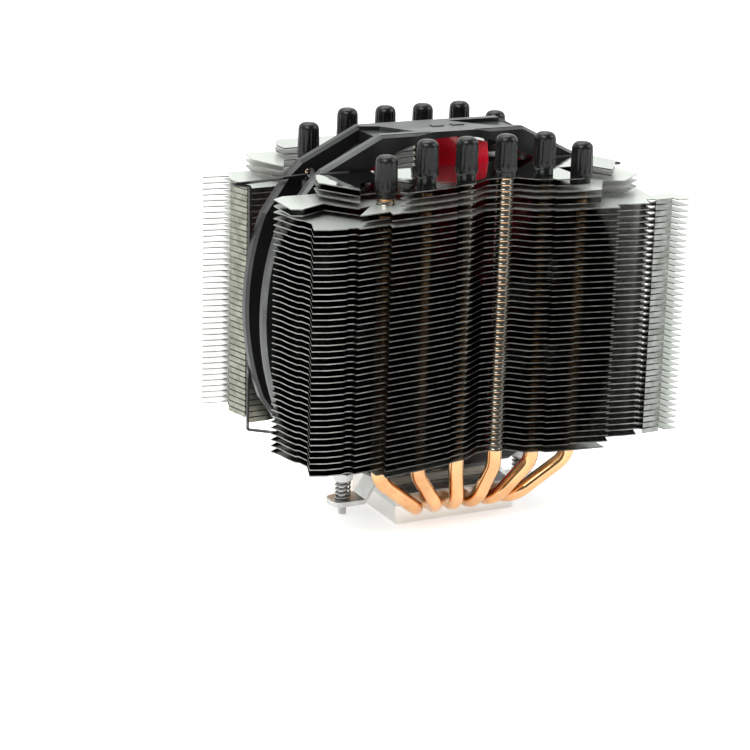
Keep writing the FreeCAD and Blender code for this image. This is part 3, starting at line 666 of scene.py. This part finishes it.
def add_fold(bm, start, end, underside):
    """A strip folded down from a fin's edge, with a rounded lower rim; start and end are level points."""
    along = (Vector(end) - Vector(start)).normalized()
    inward = Vector((along.y, -along.x))
    rings = []
    for point in (Vector(start), Vector(end)):
        places = [(point + inward * (depth * MM), underside + z * MM) for depth, z in FOLD_PROFILE]
        rings.append([(place.x, place.y, z) for place, z in places])
    caps = [[Vector(ring[0]).lerp(Vector(ring[-1]), 0.5)] for ring in rings]
    add_lathe(bm, [caps[0], rings[0], rings[1], caps[1]], len(FOLD_PROFILE))


def build_folds():
    """The folds behind the front stack's right wing, one under each full fin."""
    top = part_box("front_fins_full")[1][2]
    row_y = middle("front_cap_1")[1]
    corners = [(x * MM, row_y + y * MM) for x, y in FOLD_CORNERS]
    bm = bmesh.new()
    for level in range(FULL_FINS - 1):
        underside = top - level * FIN_PITCH - FIN_THICKNESS
        for start, end in zip(corners, corners[1:]):
            add_fold(bm, start, end, underside)
    bmesh.ops.recalc_face_normals(bm, faces=bm.faces)
    new_piece("front_fin_folds", bm, FIN, "cooler", "fin_metal")


build_folds()


# ---------------------------------------------------------------- impeller

BLADES = 9
TIP_RADIUS = 66.2
ROOT_RADIUS = 23.5
BLADE_FRONT = -5.0
BLADE_DEPTH = 14.0
BLADE_CAMBER = 2.2
HALF_THICKNESS = 0.8
CUP_SEGMENTS = 120
CUP_NOSE = -6.0
CUP_PROFILE = [(19.3, CUP_NOSE), (19.7, -5.7), (20.4, -5.7), (20.8, CUP_NOSE), (22.4, CUP_NOSE), (23.2, -5.8),
               (23.8, -5.2), (24.0, -4.4), (24.0, 11.2), (23.8, 11.4), (22.42, 11.4), (22.42, -4.4),
               (4.2, -4.4), (4.0, -1.9), (1.52, -1.9), (1.52, -5.2)]


def blade_point(radius, share, side, turn):
    """A point on a blade. share runs from its leading to its trailing edge; side is -1 in front, 1 behind."""
    sweep = (TIP_RADIUS - radius) * 0.38
    lead = 14.5 + sweep
    trail = -6.0 + sweep * 0.8
    angle = math.radians(lead + (trail - lead) * share) + turn
    arch = math.sin(math.pi * min(max(share, 0.0), 1.0))
    y = BLADE_FRONT + BLADE_DEPTH * share - BLADE_CAMBER * arch
    y += side * HALF_THICKNESS * (0.35 + 0.65 * arch)
    return (radius * MM * math.sin(angle), y * MM, FAN_Z + radius * MM * math.cos(angle))


def add_blade(bm, turn):
    """One curved blade with rounded edges, closed at its tip."""
    stations = 16
    steps = 18
    rings = []
    for station in range(stations + 1):
        radius = ROOT_RADIUS + (TIP_RADIUS - ROOT_RADIUS) * station / stations
        front = [blade_point(radius, step / steps, -1, turn) for step in range(steps + 1)]
        back = [blade_point(radius, step / steps, 1, turn) for step in range(steps, -1, -1)]
        trailing = [blade_point(radius, 1.012, 0, turn)]
        leading = [blade_point(radius, -0.012, 0, turn)]
        rings.append(front + trailing + back + leading)
    sides = len(rings[0])
    rows = [[bm.verts.new(point) for point in ring] for ring in rings]
    for lower, upper in zip(rows, rows[1:]):
        for index in range(sides):
            after = (index + 1) % sides
            bm.faces.new((lower[index], lower[after], upper[after], upper[index]))
    for row in (rows[0], rows[-1]):
        for step in range(steps):
            bm.faces.new((row[step], row[step + 1], row[2 * steps - step + 1], row[2 * steps + 2 - step]))
        bm.faces.new((row[steps], row[steps + 1], row[steps + 2]))
        bm.faces.new((row[0], row[-1], row[-2]))


def fan_ring(radius, y, segments):
    """A ring of points round the fan's axis."""
    return [(radius * MM * math.cos(2 * math.pi * i / segments), y * MM,
             FAN_Z + radius * MM * math.sin(2 * math.pi * i / segments)) for i in range(segments)]


def build_impeller():
    """Nine curved blades on a cup with a rounded nose and a ring groove round the label."""
    bm = bmesh.new()
    rings = [[(0, CUP_NOSE * MM, FAN_Z)]]
    rings += [fan_ring(radius, y, CUP_SEGMENTS) for radius, y in CUP_PROFILE]
    rings.append([(0, CUP_PROFILE[-1][1] * MM, FAN_Z)])
    add_lathe(bm, rings, CUP_SEGMENTS)
    for index in range(BLADES):
        add_blade(bm, 2 * math.pi * index / BLADES)
    bmesh.ops.recalc_face_normals(bm, faces=bm.faces)
    wheel = new_piece("impeller_wheel", bm, BLADE, "rotor", "blade_plastic", "impeller")
    sharpen(wheel, 40)


build_impeller()


# ---------------------------------------------------------------- mounting hardware

SPRING_WIRE = 0.4 * MM
SPRING_RADIUS = 2.9 * MM
SPRING_TURNS = 5
KNURL_RIDGES = 44
KNURL_FOOT = 3.76
KNURL_CREST = 3.93
THREAD_WIRE = 0.14 * MM
THREAD_RADIUS = 1.46 * MM
THREAD_TURNS = 6
EDGE_ROUNDING = 0.25 * MM


def add_coil(bm, centre, radius, wire, z_low, z_high, turns, steps_per_turn=40, sides=12):
    """A round wire wound upwards, with its last half turns closed flat."""
    steps = int(turns * steps_per_turn)
    rings = []
    for step in range(steps + 1):
        share = step / steps
        angle = 2 * math.pi * turns * share
        flat = 0.5 / turns
        rise = min(max((share - flat) / (1 - 2 * flat), 0.0), 1.0)
        z = z_low + wire + (z_high - z_low - 2 * wire) * rise
        out = Vector((math.cos(angle), math.sin(angle), 0))
        core = Vector((centre[0], centre[1], z)) + out * radius
        ring = []
        for corner in range(sides):
            turn = 2 * math.pi * corner / sides
            ring.append(core + out * (wire * math.cos(turn)) + Vector((0, 0, wire * math.sin(turn))))
        rings.append(ring)
    rings.insert(0, [sum(rings[0], Vector()) / sides])
    rings.append([sum(rings[-1], Vector()) / sides])
    add_lathe(bm, rings, sides)
    bmesh.ops.recalc_face_normals(bm, faces=bm.faces)


def build_spring(name):
    """The coil spring under a screw's head, with a mesh of its own."""
    node = "spring_" + name
    low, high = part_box(node)
    centre = middle(node)
    bm = bmesh.new()
    add_coil(bm, centre, SPRING_RADIUS, SPRING_WIRE, low[2], high[2], SPRING_TURNS)
    spring = new_piece(node + "_coil", bm, SPRING, "bar", "spring_steel", node)
    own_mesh(spring)


def build_screw_details(name):
    """The knurl round a screw's head and the thread on its tip."""
    node = "spring_screw_" + name
    low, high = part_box(node)
    centre = middle(node)
    head = (high[2] - 2.7 * MM, high[2] - 0.3 * MM)
    half = math.pi / KNURL_RIDGES * 0.8
    bm = bmesh.new()
    for index in range(KNURL_RIDGES):
        angle = 2 * math.pi * index / KNURL_RIDGES
        corners = [(KNURL_FOOT, angle - half), (KNURL_CREST, angle), (KNURL_FOOT, angle + half)]
        rows = [[bm.verts.new((centre[0] + r * MM * math.cos(a), centre[1] + r * MM * math.sin(a), z))
                 for r, a in corners] for z in head]
        for left, right in ((0, 1), (1, 2), (2, 0)):
            bm.faces.new((rows[0][left], rows[0][right], rows[1][right], rows[1][left]))
        bm.faces.new(rows[0])
        bm.faces.new(rows[1])
    bmesh.ops.recalc_face_normals(bm, faces=bm.faces)
    knurl = new_piece("screw_%s_knurl" % name, bm, SCREW, "screw_" + name, "screw_steel")
    sharpen(knurl, 20)
    thread = (low[2] + 0.1 * MM, low[2] + 3.0 * MM)
    bm = bmesh.new()
    add_coil(bm, centre, THREAD_RADIUS, THREAD_WIRE, *thread, THREAD_TURNS, 32, 8)
    new_piece("screw_%s_thread" % name, bm, SCREW, "screw_" + name, "screw_steel")


for name in ("left", "right"):
    build_spring(name)
    build_screw_details(name)

for name in ("fan_frame", "base_plate", "base_cover", "cross_bar"):
    soften(name, EDGE_ROUNDING)


# ---------------------------------------------------------------- stage, light and camera

def build_floor():
    """A plain white floor that glows a little, like the paper of a light table."""
    bm = bmesh.new()
    bmesh.ops.create_grid(bm, x_segments=1, y_segments=1, size=6.0)
    mesh = bpy.data.meshes.new("floor")
    bm.to_mesh(mesh)
    bm.free()
    floor = bpy.data.objects.new("floor", mesh)
    bpy.context.scene.collection.objects.link(floor)
    paper = Shader("floor_paper")
    paper.set(Base_Color=grey(0.85), Roughness=paper.remap(paper.noise(20.0), 0.7, 0.8))
    paper.set(Specular_IOR_Level=0.1, Emission_Color=grey(1.0), Emission_Strength=0.55)
    mesh.materials.append(paper.material)


def build_world():
    """A studio that is dim in front of the cooler and brightens smoothly to a wall behind it."""
    world = bpy.data.worlds.new("studio")
    bpy.context.scene.world = world
    world.use_nodes = True
    tree = world.node_tree
    background = tree.nodes["Background"]
    background.inputs["Color"].default_value = (0.97, 1.0, 0.97, 1.0)
    direction = tree.nodes.new("ShaderNodeTexCoord")
    parts = tree.nodes.new("ShaderNodeSeparateXYZ")
    wall = tree.nodes.new("ShaderNodeMapRange")
    wall.interpolation_type = "SMOOTHSTEP"
    for name, value in (("From Min", -0.5), ("From Max", 0.5), ("To Min", 0.16), ("To Max", 1.15)):
        wall.inputs[name].default_value = value
    tree.links.new(direction.outputs["Generated"], parts.inputs[0])
    tree.links.new(parts.outputs["Y"], wall.inputs["Value"])
    tree.links.new(wall.outputs["Result"], background.inputs["Strength"])


def add_softbox(name, place, target, size, power):
    """A rectangular lamp at a place, turned to a target."""
    light = bpy.data.lights.new(name, "AREA")
    light.shape = "RECTANGLE"
    light.size = size[0]
    light.size_y = size[1]
    light.energy = power
    box = bpy.data.objects.new(name, light)
    bpy.context.scene.collection.objects.link(box)
    aim = (Vector(target) - Vector(place)).to_track_quat("-Z", "Y")
    box.matrix_world = Matrix.Translation(place) @ aim.to_matrix().to_4x4()


def build_camera():
    """The camera looks down on the front left corner, turned very slightly."""
    azimuth = math.radians(-26.84)
    elevation = math.radians(15.56)
    roll = math.radians(1.60)
    back = Vector((math.sin(azimuth) * math.cos(elevation), -math.cos(azimuth) * math.cos(elevation),
                   math.sin(elevation)))
    level = Vector((math.cos(azimuth), math.sin(azimuth), 0))
    above = back.cross(level)
    right = level * math.cos(roll) + above * math.sin(roll)
    up = above * math.cos(roll) - level * math.sin(roll)
    data = bpy.data.cameras.new("camera")
    data.lens = 109.75
    data.sensor_width = 36.0
    data.shift_x = -0.0207
    data.shift_y = -0.064
    data.clip_start = 0.01
    data.clip_end = 50.0
    camera = bpy.data.objects.new("camera", data)
    bpy.context.scene.collection.objects.link(camera)
    place = (-0.4202, -0.7882, 0.3229)
    camera.matrix_world = Matrix.Translation(place) @ Matrix((right, up, back)).transposed().to_4x4()
    bpy.context.scene.camera = camera


bpy.context.scene.view_settings.view_transform = "Standard"
build_floor()
build_world()
add_softbox("key", (-0.9, -0.7, 1.3), (0, 0, 0.08), (1.0, 1.0), 18.0)
add_softbox("fill", (1.2, -0.6, 0.9), (0, 0, 0.08), (1.0, 1.0), 9.0)
add_softbox("top", (0.0, 0.5, 1.6), (0, 0, 0.1), (1.4, 1.0), 14.0)
build_camera()
